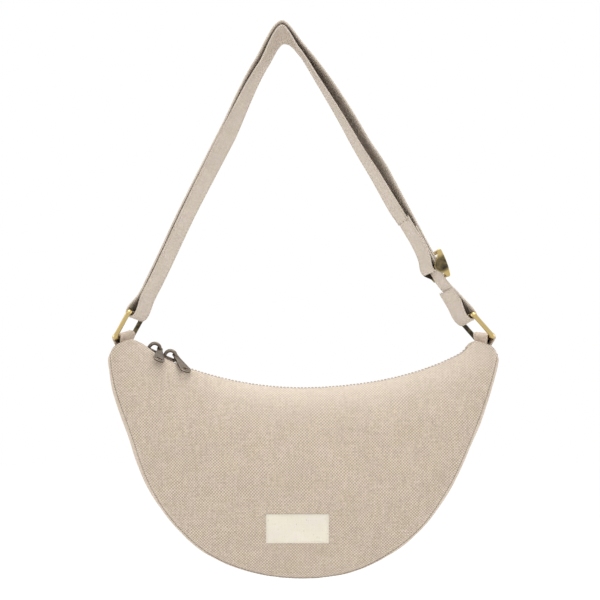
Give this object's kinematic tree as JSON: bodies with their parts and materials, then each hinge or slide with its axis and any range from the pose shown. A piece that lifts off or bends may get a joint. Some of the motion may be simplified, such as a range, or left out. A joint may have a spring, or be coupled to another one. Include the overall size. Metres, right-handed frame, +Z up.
{
  "type": "half moon crossbody bag",
  "caption": "Half moon canvas crossbody bag with a curved zip, paired sliders, wire rings at its corners and a doubled strap with a sliding adjuster.",
  "frame": {"origin": "the point under the top of the strap, at the middle of its width, by which the bag hangs", "axes": "+Z up along the hanging bag, +X to the viewer's right, -Y out of the front panel"},
  "size_m": [0.3737, 0.0747, 0.54],
  "materials": {
    "front_panel": "beige flecked canvas",
    "back_panel": "beige flecked canvas",
    "gusset": "beige flecked canvas",
    "zip_end_left": "beige flecked canvas",
    "zip_end_right": "beige flecked canvas",
    "zip_facing_front": "beige flecked canvas",
    "zip_facing_back": "beige flecked canvas",
    "zip_tape_front": "woven tape",
    "zip_tape_back": "woven tape",
    "zip_coil_front": "beige coil",
    "zip_coil_back": "beige coil",
    "zip_stop_left": "dark gunmetal, satin",
    "zip_stop_right": "dark gunmetal, satin",
    "lining": "plain cotton",
    "label": "cream woven label, bare",
    "tab_left": "beige flecked canvas",
    "tab_right": "beige flecked canvas",
    "ring_left": "antique brass, satin",
    "ring_right": "antique brass, satin",
    "strap": "beige flecked canvas",
    "strap_end": "beige flecked canvas",
    "adjuster": "antique brass, satin",
    "slider_left": "dark gunmetal, satin",
    "slider_right": "dark gunmetal, satin",
    "puller_left": "dark gunmetal, satin",
    "puller_right": "dark gunmetal, satin"
  },
  "bodies": {
    "strap": {"strap": "strap"},
    "ring_left": {"ring_left": "ring_left"},
    "bag": {"front_panel": "front_panel", "back_panel": "back_panel", "gusset": "gusset", "zip_end_left": "zip_end_left", "zip_end_right": "zip_end_right", "zip_facing_front": "zip_facing_front", "zip_facing_back": "zip_facing_back", "zip_tape_front": "zip_tape_front", "zip_tape_back": "zip_tape_back", "zip_coil_front": "zip_coil_front", "zip_coil_back": "zip_coil_back", "zip_stop_left": "zip_stop_left", "zip_stop_right": "zip_stop_right", "lining": "lining", "label": "label", "tab_left": "tab_left", "tab_right": "tab_right"},
    "ring_right": {"ring_right": "ring_right"},
    "adjuster": {"adjuster": "adjuster", "strap_end": "strap_end"},
    "slider_left": {"slider_left": "slider_left"},
    "slider_right": {"slider_right": "slider_right"},
    "puller_left": {"puller_left": "puller_left"},
    "puller_right": {"puller_right": "puller_right"}
  },
  "joints": [
    {"name": "ring_left_swing", "type": "hinge", "parent": "strap", "child": "ring_left", "pos_m": [-0.14827, 0, -0.27231], "axis": [0.2329, 0.9641, -0.1275], "range_deg": [-8.3, 8.3]},
    {"name": "bag_tilt", "type": "hinge", "parent": "ring_left", "child": "bag", "pos_m": [-0.162, 0, -0.2974], "axis": [0.2329, 0.9641, -0.1275], "range_deg": [-7, 7]},
    {"name": "ring_right_swing", "type": "hinge", "parent": "strap", "child": "ring_right", "pos_m": [0.17632, 0, -0.27591], "axis": [-0.1995, 0.9641, -0.1753], "range_deg": [-8.8, 8.8]},
    {"name": "adjuster_slide", "type": "slide", "parent": "strap", "child": "adjuster", "axis": [-0.4695, 0, 0.8829], "range_m": [0, 0.042]},
    {"name": "slider_left_travel", "type": "hinge", "parent": "bag", "child": "slider_left", "pos_m": [0.0166, 0, -0.0122], "axis": [0, -1, 0], "range_deg": [-0.35, 0]},
    {"name": "slider_right_travel", "type": "hinge", "parent": "bag", "child": "slider_right", "pos_m": [0.0166, 0, -0.0122], "axis": [0, -1, 0], "range_deg": [0, 45]},
    {"name": "puller_left_lift", "type": "hinge", "parent": "slider_left", "child": "puller_left", "pos_m": [-0.12285, 0, -0.30641], "axis": [-0.9101, -0.1783, 0.374], "range_deg": [0, 54]},
    {"name": "puller_right_lift", "type": "hinge", "parent": "slider_right", "child": "puller_right", "pos_m": [-0.1075, 0, -0.31289], "axis": [-0.8231, -0.5624, 0.0792], "range_deg": [0, 75]}
  ],
  "couplings": [
    {"joint": "ring_left_swing", "follows": "bag_tilt", "ratio": -1.1111},
    {"joint": "ring_right_swing", "follows": "bag_tilt", "ratio": -1.1778}
  ]
}
